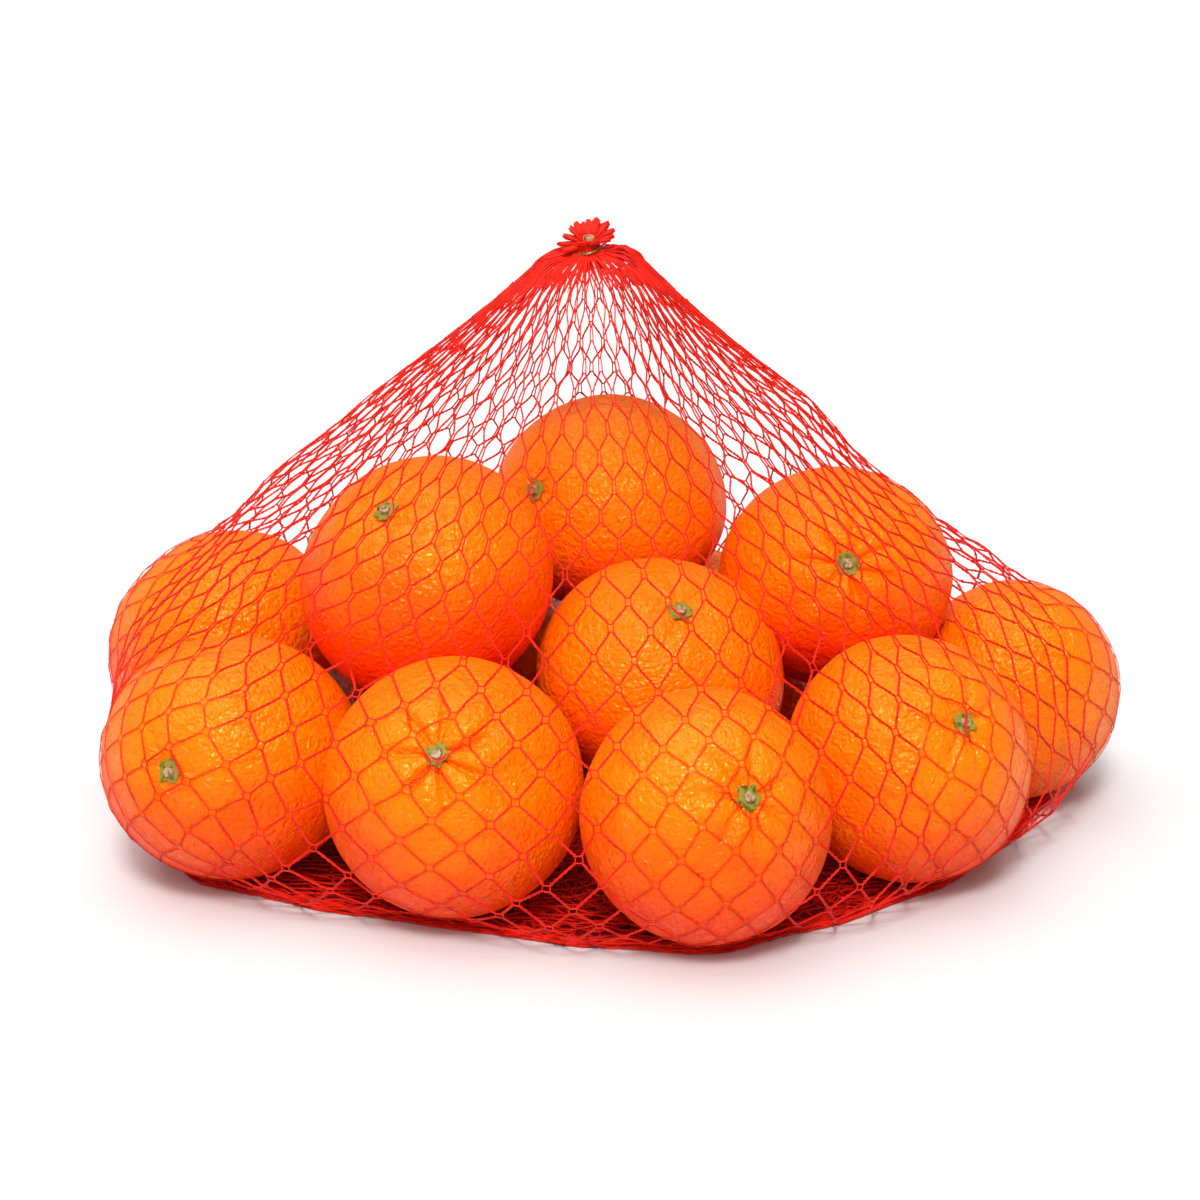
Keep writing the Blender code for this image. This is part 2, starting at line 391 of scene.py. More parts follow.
def stalk_button(name, seed):
    seat, turn = stem_frame(name)
    deselect_all()
    bpy.ops.mesh.primitive_cylinder_add(vertices=24, radius=BUTTON_RADIUS, depth=BUTTON_HEIGHT)
    button = bpy.context.object
    button.name = "stalk_button_" + name
    bpy.ops.object.mode_set(mode="EDIT")
    bpy.ops.mesh.select_all(action="SELECT")
    bpy.ops.mesh.bevel(offset=0.25 * MM, segments=3, affect="EDGES")
    bpy.ops.mesh.select_all(action="SELECT")
    bpy.ops.mesh.subdivide(number_cuts=1)
    bpy.ops.object.mode_set(mode="OBJECT")
    for vertex in button.data.vertices:
        bumpy = noise.noise(vertex.co / (0.7 * MM) + Vector((seed, 0, 0)))
        swell = 1 + BUTTON_SWELL * bumpy
        top = max(0.0, vertex.co.z) / BUTTON_HEIGHT
        hollow = 1 - min(1.0, math.hypot(vertex.co.x, vertex.co.y) / BUTTON_RADIUS)
        local = Vector((vertex.co.x * swell, vertex.co.y * swell,
                        vertex.co.z - BUTTON_HOLLOW * hollow * top * 2 + BUTTON_HEIGHT * 0.55))
        vertex.co = seat + turn @ local
    button.data.shade_smooth()
    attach(button, "root")
    return button


def mottled_material(name, cells_per_metre, stops, detail=3.0, **constants):
    """A material whose colour runs through the stops with a fine noise."""
    made, shader, wire = new_material(name, **constants)
    place = wire.node("ShaderNodeTexCoord", output=3)
    mottle = wire.node("ShaderNodeTexNoise", {}, {
        "Vector": place, "Scale": cells_per_metre, "Detail": detail})
    plug(wire.node("ShaderNodeValToRGB", {"stops": stops}, {"Fac": mottle}),
         shader, "Base Color")
    return made, shader, mottle


calyx_green, shader, mottle = mottled_material("calyx_green", 620.0, (
    (0.34, (0.085, 0.075, 0.006, 1)), (0.50, (0.24, 0.23, 0.020, 1)),
    (0.64, (0.36, 0.20, 0.040, 1))), Roughness=0.6, Specular_IOR_Level=0.2)
plug_relief(mottle, shader, 0.6, 0.2 * MM)

button_wood, shader, mottle = mottled_material("button_wood", 1100.0, (
    (0.35, (0.14, 0.075, 0.025, 1)), (0.52, (0.40, 0.25, 0.12, 1)),
    (0.72, (0.58, 0.36, 0.22, 1))), Roughness=0.65)
plug_relief(mottle, shader, 0.7, 0.2 * MM)

for seed, name in enumerate(CLEMENTINES):
    calyx(name, seed).data.materials.append(calyx_green)
    stalk_button(name, seed).data.materials.append(button_wood)


# -------------------------------------------------------------------- the net
# A tube of red plastic yarn, knitted on a warp machine: wide rounded meshes,
# each edge made of two yarns that wind round each other, and a small eye where
# four meshes meet.  It is stretched over the fruit, drawn up to the clip at
# the top, and gathered flat under the pile at its closed end.
YARN_RADIUS, SLACK_YARN_RADIUS = 0.09 * MM, 0.19 * MM
YARN_SIDES = 4
YARN_SPREAD = 0.26 * MM         # from the middle of an edge to each of its yarns
YARN_DEPTH = 0.14 * MM          # how far the yarns pass in front of each other
EDGE_TWISTS = 2.5
PEEL_GAP = 0.32 * MM            # from the peel to the middle of an edge
NET_COLUMNS = 60
NET_ROWS = 44
SLACK_PITCH, TIGHT_PITCH = 9.2 * MM, 6.1 * MM   # from row to row, in slim and in wide meshes
WIDE_MESH = 14.5 * MM
NECK = Vector((-6.2, 25.2, 145.2)) * MM
NECK_RADIUS = 2.2 * MM
NECK_FULLNESS, NECK_LEAN = 3.8 * MM, 0.9 * MM   # the gathered yarn stands off below the clip
CLIP_ROOM = 0.95                # in front it leaves the clip free
TENT_FULLNESS = 3.6 * MM
SIDE_CROWDING, BACK_THINNING = 0.30, 0.22   # near the neck the sides get most of the meshes
GATHER, GATHER_RADIUS = Vector((-3, -4, 0.5)) * MM, 6 * MM
FOLD_REACH, FOLD_SQUEEZE = 6 * MM, 0.30   # slack meshes lie squeezed along the table
FOOT_LEVEL = 1.7 * MM
SURVEY_HEADINGS, SURVEY_LEVELS, LINE_POINTS = 240, 100, 180
SURVEY_FROM = 0.6               # metres from the neck's axis, well outside the bag
TIGHT_BELOW, TIGHT_WITHIN = 34 * MM, 14 * MM   # here it is drawn straight from fruit to fruit
NECK_FULL_REACH, FULL_START, CLIP_ROOM_REACH = 30 * MM, 5 * MM, 8 * MM
CLEAR_OF_FRUIT = 20 * MM        # nearer to the fruit the net stands off less
BELT = 125                      # the point on each line at which its share is set

peel_points, peel_faces = [], []
for fruit in fruits:
    offset = len(peel_points)
    peel_points += [v.co[:] for v in fruit.data.vertices]
    peel_faces += [[i + offset for i in p.vertices] for p in fruit.data.polygons]
# The points and faces of a sphere aren't numbered alike each time, so they are sorted.
order = np.lexsort(np.array(peel_points).T)
number = np.argsort(order).tolist()
peel_cloud = np.array(peel_points)[order]
for index, face in enumerate(peel_faces):
    face = [number[i] for i in face]
    first = face.index(min(face))
    peel_faces[index] = face[first:] + face[:first]
peel_tree = BVHTree.FromPolygons(peel_cloud.tolist(), sorted(peel_faces))


FILM_FOOT, FILM_VOXEL = NECK - Vector((0, 0, 2.6)) * MM, 2.6 * MM
SINK_ROUNDS = 150               # how far the net sinks between the fruit
SINK_FROM, SINK_FULL = 104 * MM, 64 * MM   # the taut tent above stays
SINK_GIVE, TENT_GIVE = 0.6, 0.04
FILM_GAP, HELD_REACH = 0.7 * MM, 9 * MM


def stretched_film():
    """The outer skin of the bag: taut over the fruit and up to the neck."""
    wrap = bmesh.new()
    for point in peel_cloud[::13]:
        wrap.verts.new(point)
    for step in range(24):
        turn = 2 * math.pi * step / 24
        wrap.verts.new(FILM_FOOT + 0.9 * NECK_RADIUS * Vector((math.cos(turn), math.sin(turn), 0)))
    made = bmesh.ops.convex_hull(wrap, input=wrap.verts)
    spare = {g for g in made["geom_interior"] + made["geom_unused"]
             if isinstance(g, bmesh.types.BMVert)}
    bmesh.ops.delete(wrap, geom=list(spare), context="VERTS")
    bmesh.ops.recalc_face_normals(wrap, faces=wrap.faces)
    film = bpy.data.objects.new("film", bpy.data.meshes.new("film"))
    bpy.context.collection.objects.link(film)
    wrap.to_mesh(film.data)
    wrap.free()
    even = film.modifiers.new("even", "REMESH")
    even.mode, even.voxel_size = "VOXEL", FILM_VOXEL
    graph = bpy.context.evaluated_depsgraph_get()
    mesh = bpy.data.meshes.new_from_object(film.evaluated_get(graph))
    bpy.data.objects.remove(film, do_unlink=True)
    return mesh


def sunk_film(mesh):
    """The same skin, let sink a little into the hollows between the fruit."""
    count = len(mesh.vertices)
    place = np.array([v.co for v in mesh.vertices])
    one, two = np.array([e.vertices for e in mesh.edges]).T
    near = np.bincount(np.concatenate([one, two]), minlength=count)[:, None]
    held = np.linalg.norm(place - np.array(FILM_FOOT), axis=1) < HELD_REACH
    share = np.clip((SINK_FROM - place[:, 2]) / (SINK_FROM - SINK_FULL), TENT_GIVE, 1)
    give = SINK_GIVE * share[:, None]
    start = place.copy()
    bodies = [(np.array(row[0]) * MM, ellipsoid(row[1], row[2])) for row in CLEMENTINES.values()]
    for _ in range(SINK_ROUNDS):
        total = np.stack([np.bincount(one, place[two, k], count)
                          + np.bincount(two, place[one, k], count) for k in range(3)], 1)
        place = place + give * (total / near - place)
        for centre, shape in bodies:
            grown = shape * (1 + FILM_GAP / FRUIT_RADIUS / MM)
            inside = np.linalg.solve(grown, (place - centre).T).T
            depth = np.linalg.norm(inside, axis=1)
            caught = (depth < 1.0) & (depth > 0.05)
            place[caught] = centre + (inside[caught] / depth[caught, None]) @ grown.T
        place[held] = start[held]
    return BVHTree.FromPolygons(place.tolist(), [p.vertices[:] for p in mesh.polygons])


skin_tree = sunk_film(stretched_film())


def unit(vectors):
    return vectors / np.maximum(np.linalg.norm(vectors, axis=-1, keepdims=True), 1e-12)


def ease(value):
    value = np.clip(value, 0, 1)
    return value * value * (3 - 2 * value)


def fruit_hull_reach(level, headings):
    """How far a string tied round the fruit at this height is from the neck's axis."""
    near = peel_cloud[np.abs(peel_cloud[:, 2] - max(level, FOOT_LEVEL)) < 0.8 * MM, :2]
    near = near - np.array((NECK.x, NECK.y))
    hull = []
    for sign in (1, -1):
        chain = []
        for point in near[np.lexsort((near[:, 1], near[:, 0]))][::sign]:
            while len(chain) > 1 and np.cross(
                    chain[-1] - chain[-2], point - chain[-1]) <= 0:
                chain.pop()
            chain.append(point)
        hull += chain[:-1]
    hull = np.array(hull)
    after = np.roll(hull, -1, 0)
    ways = np.stack([np.cos(headings), np.sin(headings)], -1)
    edge = after - hull
    cross = ways[:, None, 0] * edge[None, :, 1] - ways[:, None, 1] * edge[None, :, 0]
    cross = np.where(np.abs(cross) < 1e-12, 1e-12, cross)
    reach = (hull[None, :, 0] * edge[None, :, 1] - hull[None, :, 1] * edge[None, :, 0]) / cross
    part = (hull[None, :, 0] * ways[:, None, 1] - hull[None, :, 1] * ways[:, None, 0]) / cross
    good = (part >= -1e-6) & (part <= 1 + 1e-6) & (reach > 0)
    return np.where(good, reach, 0).max(1) + PEEL_GAP


headings = np.linspace(0, 2 * math.pi, SURVEY_HEADINGS, endpoint=False)
levels = np.linspace(NECK.z - 3.4 * MM, 0.4 * MM, SURVEY_LEVELS)
reach = np.zeros((SURVEY_HEADINGS, SURVEY_LEVELS))
for index, heading in enumerate(headings):
    way = Vector((math.cos(heading), math.sin(heading), 0))
    for step, level in enumerate(levels):
        start = Vector((NECK.x, NECK.y, level)) + way * SURVEY_FROM
        hit = skin_tree.ray_cast(start, -way)[0]
        if hit is not None and (hit - start).dot(-way) < SURVEY_FROM:
            reach[index, step] = (hit - Vector((NECK.x, NECK.y, level))).dot(way)
for step, level in enumerate(levels):
    if level < TIGHT_BELOW:
        tight = fruit_hull_reach(level, headings)
        share = ease((TIGHT_BELOW - level) / TIGHT_WITHIN)
        reach[:, step] += share * (tight - reach[:, step])

line_out = np.zeros((SURVEY_HEADINGS, LINE_POINTS))
line_up = np.zeros((SURVEY_HEADINGS, LINE_POINTS))
for index in range(SURVEY_HEADINGS):
    known = reach[index] > NECK_RADIUS
    out = np.concatenate([[NECK_RADIUS], reach[index][known]])
    up = np.concatenate([[NECK.z], levels[known]])
    length = np.concatenate([[0], np.cumsum(np.hypot(np.diff(out), np.diff(up)))])
    even = np.linspace(0, length[-1], LINE_POINTS)
    out, up = np.interp(even, length, out), np.interp(even, length, up)
    rise, run = -np.gradient(up), np.gradient(out)
    way = (math.cos(headings[index]), math.sin(headings[index]))
    clear = np.array([peel_tree.find_nearest(Vector((
        NECK.x + o * way[0], NECK.y + o * way[1], u)))[3] for o, u in zip(out, up)])
    full = (NECK_FULLNESS + NECK_LEAN * way[0]) * np.exp(-(even / NECK_FULL_REACH) ** 2)
    full = (full + TENT_FULLNESS) * ease(even / FULL_START) * ease(clear / CLEAR_OF_FRUIT)
    full *= 1 - CLIP_ROOM * max(0, -way[1]) ** 1.5 * np.exp(-(even / CLIP_ROOM_REACH) ** 2)
    norm = np.maximum(np.hypot(rise, run), 1e-12)
    line_out[index] = out + full * rise / norm
    line_up[index] = up + full * run / norm


def cumulative_share(weight):
    share = np.concatenate([[0], np.cumsum(weight)])
    return share / share[-1]


# Low down the meshes share out the way round the pile; near the neck they crowd.
belt_x = line_out[:, BELT] * np.cos(headings)
belt_y = line_out[:, BELT] * np.sin(headings)
girth = np.hypot(np.roll(belt_x, -1) - belt_x, np.roll(belt_y, -1) - belt_y)
girth = np.convolve(np.concatenate([girth[-6:], girth, girth[:6]]), np.ones(13) / 13, "valid")
turn_edges = np.linspace(0, 2 * math.pi, SURVEY_HEADINGS + 1)
STRETCHED_HEADING, STRETCHED_REACH, STRETCHED_BY = math.radians(245), math.radians(22), 0.25
stretched = np.exp(-((headings - STRETCHED_HEADING) / STRETCHED_REACH) ** 2)
low_share = cumulative_share(girth * (1 - STRETCHED_BY * stretched))
top_share = cumulative_share(1 + SIDE_CROWDING * np.cos(2 * headings)
                             - BACK_THINNING * np.maximum(np.sin(headings), 0) ** 2)

HALF_COLUMNS = 2 * NET_COLUMNS
along = np.linspace(0, 1, LINE_POINTS)
lines = np.zeros((HALF_COLUMNS, LINE_POINTS, 3))
for half in range(HALF_COLUMNS):
    share = half / HALF_COLUMNS
    turn = np.interp(share, top_share, turn_edges) * (1 - ease(along)) \
        + np.interp(share, low_share, turn_edges) * ease(along)
    at = turn / (2 * math.pi) * SURVEY_HEADINGS % SURVEY_HEADINGS
    first = at.astype(int) % SURVEY_HEADINGS
    second, part = (first + 1) % SURVEY_HEADINGS, at - at.astype(int)
    steps = np.arange(LINE_POINTS)
    out = (1 - part) * line_out[first, steps] + part * line_out[second, steps]
    up = (1 - part) * line_up[first, steps] + part * line_up[second, steps]
    lines[half] = np.stack([NECK.x + out * np.cos(turn), NECK.y + out * np.sin(turn), up], -1)

# Where the meshes are pulled wide they are a little shorter.
wide = np.linalg.norm(np.roll(lines, -1, 0) - np.roll(lines, 1, 0), axis=2)
step_length = np.linalg.norm(np.diff(lines, axis=1), axis=2)
pitch = SLACK_PITCH + (TIGHT_PITCH - SLACK_PITCH) * np.clip(wide / WIDE_MESH, 0, 1.3)
to_floor = step_length.sum(1)[:, None] - np.cumsum(step_length, 1)
pitch = pitch[:, 1:] * (1 - (1 - FOLD_SQUEEZE) * (1 - ease(to_floor / FOLD_REACH)))
line_rows = np.concatenate(
    [np.zeros((HALF_COLUMNS, 1)), np.cumsum(step_length / pitch, 1)], 1)
smooth = np.zeros_like(line_rows)
for shift in range(-3, 4):
    smooth += np.roll(line_rows, shift, 0) / 7
line_rows = smooth
rows_to_floor = line_rows[:, -1]


def line_point(half, row):
    half = int(half) % HALF_COLUMNS
    if row <= rows_to_floor[half]:
        spot = np.interp(row, line_rows[half], steps)
        return np.array([np.interp(spot, steps, lines[half, :, k]) for k in range(3)])
    edge = lines[half, -1]
    away = edge - np.array(GATHER)
    away[2] = 0
    end = np.array(GATHER) + away / np.linalg.norm(away) * GATHER_RADIUS
    inward = (row - rows_to_floor[half]) / (NET_ROWS - rows_to_floor[half])
    inward = inward ** 1.25
    return edge + (end - edge) * inward


def net_point(step, row):
    """A place on the net, by column and row, both of which may be broken numbers."""
    half = 2 * step
    part = half - math.floor(half)
    return (1 - part) * line_point(math.floor(half), row) \
        + part * line_point(math.floor(half) + 1, row)


def wander(column, row, channel):
    """Smooth, repeatable unevenness of the knitting, about -1 to 1."""
    turn = 2 * math.pi * column / NET_COLUMNS
    fine = noise.noise(Vector((math.cos(turn) * 7, math.sin(turn) * 7, row * 0.5 + channel * 31)))
    broad = noise.noise(Vector((math.cos(turn) * 2, math.sin(turn) * 2, row * 0.2 + channel * 17)))
    return fine + broad


WANDER_ALONG, WANDER_ACROSS = 0.12, 0.16   # in rows and in columns
UNEVEN_FROM_ROW = 4

knots = np.zeros((NET_ROWS + 1, NET_COLUMNS, 3))
outward = np.zeros_like(knots)
for row in range(NET_ROWS + 1):
    for column in range(NET_COLUMNS):
        step = column + 0.5 * (row % 2)
        loose = min(1.0, row / UNEVEN_FROM_ROW)
        moved_row = row + WANDER_ALONG * loose * wander(step, row, 1) * (row < NET_ROWS)
        moved_step = step + WANDER_ACROSS * loose * wander(step, row, 0)
        point = net_point(moved_step, max(moved_row, 0))
        knots[row, column] = point
        if row > rows_to_floor[int(2 * step) % HALF_COLUMNS]:
            outward[row, column] = (0, 0, -1)
        else:
            outward[row, column] = skin_tree.find_nearest(Vector(point))[1]


def knot_at(row, step):
    """Row and column of the knot at a position that counts in columns."""
    return row, int(math.floor(step - 0.5 * (row % 2) + 1e-6)) % NET_COLUMNS


EDGE_POINTS, CORNER_POINTS = 10, 5
edge_at = np.linspace(0, 1, EDGE_POINTS)
# For each side of a mesh, clockwise from the top knot: does it run downwards,
# which way along the net its first and its last knot are drawn out.
SIDES = ((True, 1, -1), (True, 1, -1), (False, -1, 1), (False, -1, 1))
# In a wide mesh the yarn turns each corner round one eye; in a slim one it runs
# past two small eyes, one above the other, and turns sharply at the ends.
EYE_RADIUS = 1.05 * MM
EYE_TURN = np.radians((-55, -28, 0, 28, 55))
SMALL_EYES_ALONG = np.array((-0.95, -0.5, 0, 0.5, 0.95))
SMALL_EYES_OUT = np.array((0.18, 0.66, 0.20, 0.66, 0.18)) * MM
SLIM_END_ACROSS = np.array((-0.50, -0.30, 0, 0.30, 0.50)) * MM
SLIM_END_BACK = np.array((0.55, 0.15, 0, 0.15, 0.55)) * MM
SLIM_KNOT = 1.6 * MM            # half the length of a knot in a slim mesh
SLIM_FROM, SLIM_WITHIN = 1.1, 0.9   # height beside width
TALL_MESH, OPEN_MESH = 9 * MM, 4 * MM   # smaller meshes have smaller eyes


def mesh_loop(row, step):
    """One rounded mesh of the net: the yarn that runs round inside its four knots."""
    places = (knot_at(row - 1, step), knot_at(row, step + 0.5),
              knot_at(row + 1, step), knot_at(row, step - 0.5))
    corners = [knots[place] for place in places]
    faces = [outward[place] for place in places]
    middle = sum(corners) / 4
    wide = np.linalg.norm(corners[1] - corners[3])
    tall = np.linalg.norm(corners[0] - corners[2])
    slim = float(ease((tall / max(wide, 1e-5) - SLIM_FROM) / SLIM_WITHIN))
    room = min(1.0, tall / TALL_MESH)
    crowd = min(1.0, wide / OPEN_MESH)
    bar = SLIM_KNOT * slim
    eye = EYE_RADIUS * min(room, crowd)
    spread = YARN_SPREAD * (1 - 0.5 * slim) * crowd
    down = unit(corners[2] - corners[0])
    across = unit(corners[1] - corners[3])
    points, looks, sways, depths = [], [], [], []
    for side, (falling, first, last) in enumerate(SIDES):
        here, there = corners[side], corners[(side + 1) % 4]
        face_here, face_there = faces[side], faces[(side + 1) % 4]
        begin, end = here + down * bar * first, there + down * bar * last
        edge_length = max(np.linalg.norm(end - begin), 1e-6)
        trim = min(0.3, (eye * 1.25 * (1 - slim) + 0.5 * MM * slim) / edge_length)
        share = trim + (1 - 2 * trim) * edge_at
        # winding is counted from the upper knot, so both yarns of an edge agree
        turn = 2 * math.pi * EDGE_TWISTS * (edge_at if falling else 1 - edge_at)
        face = unit(np.outer(1 - share, face_here) + np.outer(share, face_there))
        inward = middle - (begin + end) / 2
        inward = unit(inward - face * (face @ inward)[:, None])
        points.append(begin + np.outer(share, end - begin))
        sways.append(inward * (spread * np.cos(turn))[:, None])
        looks.append(face)
        depths.append(YARN_DEPTH * np.sin(turn) * (1 if falling else -1))
        # the corner at the next knot
        to_middle = unit((middle - there) - face_there * (face_there @ (middle - there)))
        if side in (0, 2):
            along_knot = down * (1 if side == 0 else -1)
            slim_corner = there + np.outer(SMALL_EYES_ALONG * bar, along_knot) \
                + np.outer(SMALL_EYES_OUT * crowd, to_middle)
        else:
            along_knot = across * (-1 if side == 1 else 1)
            slim_corner = there + np.outer(SLIM_END_ACROSS * crowd, along_knot) \
                + np.outer(bar + SLIM_END_BACK, to_middle)
        wide_corner = there + eye * (np.outer(np.cos(EYE_TURN), to_middle)
                                     + np.outer(np.sin(EYE_TURN), along_knot))
        points.append(wide_corner + (slim_corner - wide_corner) * slim)
        sways.append(np.zeros((CORNER_POINTS, 3)))
        looks.append(np.repeat(face_there[None], CORNER_POINTS, 0))
        depths.append(np.zeros(CORNER_POINTS))
    path = np.concatenate(points)
    for _ in range(2 + round(2 * slim)):
        path = (np.roll(path, 1, 0) + 2 * path + np.roll(path, -1, 0)) / 4
    return path + np.concatenate(sways), np.concatenate(looks), np.concatenate(depths)


meshes = [(row, column) for row in range(1, NET_ROWS) for column in range(NET_COLUMNS)]
made = [mesh_loop(row, column + 0.5 * (row % 2) + 0.5) for row, column in meshes]
loops, loop_faces, loop_depths = [np.array(part) for part in zip(*made)]

TOUCHING, FREE = 0.8 * MM, 1.8 * MM


def lay_on_peel(paths, faces, depths):
    """Yarn near the peel is laid on it, and yarn inside the peel is lifted out.
    Also says how free each point is of the peel, from 0 to 1."""
    flat, look = paths.reshape(-1, 3).copy(), faces.reshape(-1, 3).copy()
    free = np.ones(len(flat))
    for index in range(len(flat)):
        point = Vector(flat[index])
        hit, normal, _, distance = peel_tree.find_nearest(point, 8 * MM)
        if hit is None:
            continue
        if (point - hit).dot(normal) < 0:
            distance = -distance
        if distance < FREE:
            loose = min(max((distance - TOUCHING) / (FREE - TOUCHING), 0.0), 1.0)
            flat[index] = hit + normal * (PEEL_GAP + (FREE - PEEL_GAP) * loose ** 1.5)
            look[index] = normal
            free[index] = loose
    flat += look * depths.reshape(-1, 1)
    flat[:, 2] = np.maximum(flat[:, 2], SLACK_YARN_RADIUS + 0.02 * MM)
    return flat.reshape(paths.shape), look.reshape(faces.shape), free.reshape(depths.shape)


loops, loop_faces, loop_free = lay_on_peel(loops, loop_faces, loop_depths)
loop_radius = YARN_RADIUS + (SLACK_YARN_RADIUS - YARN_RADIUS) * loop_free


def yarn_mesh(name, paths, faces, radius, sides, closed):
    """Round yarn along many paths of equally many points, made as one mesh."""
    count, steps = paths.shape[:2]
    if closed:
        along = unit(np.roll(paths, -1, 1) - np.roll(paths, 1, 1))
    else:
        ends = np.concatenate([2 * paths[:, :1] - paths[:, 1:2], paths,
                               2 * paths[:, -1:] - paths[:, -2:-1]], 1)
        along = unit(ends[:, 2:] - ends[:, :-2])
    side = unit(np.cross(along, faces))
    lift = np.cross(side, along)
    turn = 2 * math.pi * (np.arange(sides) + 0.5) / sides
    ring = (np.cos(turn)[None, None, :, None] * lift[:, :, None]
            + np.sin(turn)[None, None, :, None] * side[:, :, None])
    radius = np.broadcast_to(np.asarray(radius), (count, steps))
    points = (paths[:, :, None] + radius[:, :, None, None] * ring).reshape(-1, 3)
    index = np.arange(count * steps * sides).reshape(count, steps, sides)
    here, after = (index, np.roll(index, -1, 1)) if closed else (index[:, :-1], index[:, 1:])
    quads = np.stack([here, np.roll(here, -1, 2), np.roll(after, -1, 2), after], -1)
    corners, starts = quads.ravel(), np.arange(quads.size // 4) * 4
    if not closed:
        caps = np.concatenate([index[:, 0, ::-1], index[:, -1]])
        starts = np.concatenate([starts, quads.size + np.arange(len(caps)) * sides])
        corners = np.concatenate([corners, caps.ravel()])
    mesh = bpy.data.meshes.new(name)
    mesh.vertices.add(len(points))
    mesh.vertices.foreach_set("co", points.ravel())
    mesh.loops.add(len(corners))
    mesh.loops.foreach_set("vertex_index", corners)
    mesh.polygons.add(len(starts))
    mesh.polygons.foreach_set("loop_start", starts)
    mesh.update(calc_edges=True)
    mesh.validate()
    mesh.shade_smooth()
    thing = bpy.data.objects.new(name, mesh)
    bpy.context.collection.objects.link(thing)
    return thing


NET_SHINE = (1.0, 0.32, 0.32, 1)
net_red = mottled_material("net_red", 240.0, (
    (0.30, (0.56, 0.008, 0.003, 1)), (0.62, (0.82, 0.018, 0.006, 1))), detail=2.0,
    Roughness=0.36, Specular_IOR_Level=0.35, Specular_Tint=NET_SHINE)[0]

PANELS = ("net_right", "net_back_right", "net_back", "net_back_left",
          "net_left", "net_front_left", "net_front", "net_front_right")
net_foot = rows_to_floor.mean() + 1
for panel, name in enumerate(PANELS + ("net_under",)):
    chosen = np.array([panel == (column * len(PANELS) // NET_COLUMNS if row < net_foot
                                 else len(PANELS)) for row, column in meshes])
    thin, sides = (1, YARN_SIDES) if panel < len(PANELS) else (2, 3)
    net = yarn_mesh(name, loops[chosen, ::thin], loop_faces[chosen, ::thin],
                    loop_radius[chosen, ::thin], sides, True)
    net.data.materials.append(net_red)
    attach(net, "root")
    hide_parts("net_bag")


# --------------------------------------------------- the hem and the slack folds
# The bag has more net than the pile needs.  The slack lies pressed in folds along
# the table, as a dense rim round the pile and crumpled layers beneath it.  The
# lowest layers are pressed so close that they are made as one crumpled sheet,
# whose near-black cells between the red threads are painted shade under the pile.
HEM_STRANDS, HEM_POINTS = 34, 420
HEM_INSIDE, HEM_OUTSIDE, HEM_HEIGHT = 2.6 * MM, 1.4 * MM, 2.0 * MM
HEM_WAVE = 9 * MM               # length of the waves in each strand
HEM_SWING, HEM_LOWEST = 0.9 * MM, 0.25 * MM
FOLD_LAYERS = ((0.955, 0.8), (0.93, 1.5), (0.89, 2.3))   # size beside the net, height in mm
FOLD_WAVE, FOLD_CRUMPLE, FOLD_LIFT = 13 * MM, 4.5 * MM, 0.9 * MM
FOLD_SEED = 5

rim = np.array([line_point(half, rows_to_floor[half] - 0.05) for half in range(HALF_COLUMNS)])
rim = np.concatenate([rim, rim[:1]])
rim_way = np.concatenate([[0], np.cumsum(np.linalg.norm(np.diff(rim, axis=0), axis=1))])
even = np.linspace(0, rim_way[-1], HEM_POINTS, endpoint=False)
rim = np.stack([np.interp(even, rim_way, rim[:, k]) for k in range(3)], -1)
for _ in range(10):
    rim = (np.roll(rim, 1, 0) + 2 * rim + np.roll(rim, -1, 0)) / 4
run = unit(np.roll(rim, -1, 0) - np.roll(rim, 1, 0))
rim_out = unit(np.stack([run[:, 1], -run[:, 0], np.zeros(HEM_POINTS)], -1))
if (rim_out * (rim - rim.mean(0))).sum() < 0:
    rim_out = -rim_out
hem_paths = []
for strand in range(HEM_STRANDS):
    path = rim.copy()
    for index in range(HEM_POINTS):
        swing = noise.noise(Vector(rim[index]) / HEM_WAVE + Vector((strand * 3.1, 0, 7)))
        lift = noise.noise(Vector(rim[index]) / HEM_WAVE + Vector((0, strand * 2.3, 31)))
        rest = (strand % 7) / 6
        spread = HEM_OUTSIDE - (HEM_OUTSIDE + HEM_INSIDE) * (0.75 * rest + 0.25 * abs(swing) * 2)
        path[index] += rim_out[index] * (spread + HEM_SWING * swing)
        path[index, 2] = HEM_LOWEST + HEM_HEIGHT * min(1, abs(lift) * 1.6) * (0.35 + 0.65 * rest)
    hem_paths.append(path)
hem_paths = np.array(hem_paths)
hem = yarn_mesh("net_hem", hem_paths, np.zeros_like(hem_paths) + (0, 0, 1.0),
                SLACK_YARN_RADIUS, YARN_SIDES, True)

hem.data.materials.append(net_red)
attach(hem, "root")
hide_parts("net_bag")

noise.seed_set(FOLD_SEED)       # noise_vector would start from the clock
under = np.array([row >= net_foot for row, column in meshes])
for layer, (size, height) in enumerate(FOLD_LAYERS):
    paths = (loops[under, ::4] - np.array(GATHER)) * size + np.array(GATHER)
    for path in paths:
        for point in path:
            place = Vector(point) / FOLD_WAVE + Vector((layer * 5.7, layer * 3.3, 0))
            crumple = noise.noise_vector(place)
            point[:2] += FOLD_CRUMPLE * np.array(crumple)[:2]
            point[2] = max(height * MM + FOLD_LIFT * crumple.z, HEM_LOWEST)
    fold = yarn_mesh("net_fold_" + str(layer + 1), paths, loop_faces[under, ::4],
                     SLACK_YARN_RADIUS, 3, True)
    fold.data.materials.append(net_red)
    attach(fold, "root")
    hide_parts("net_bag")

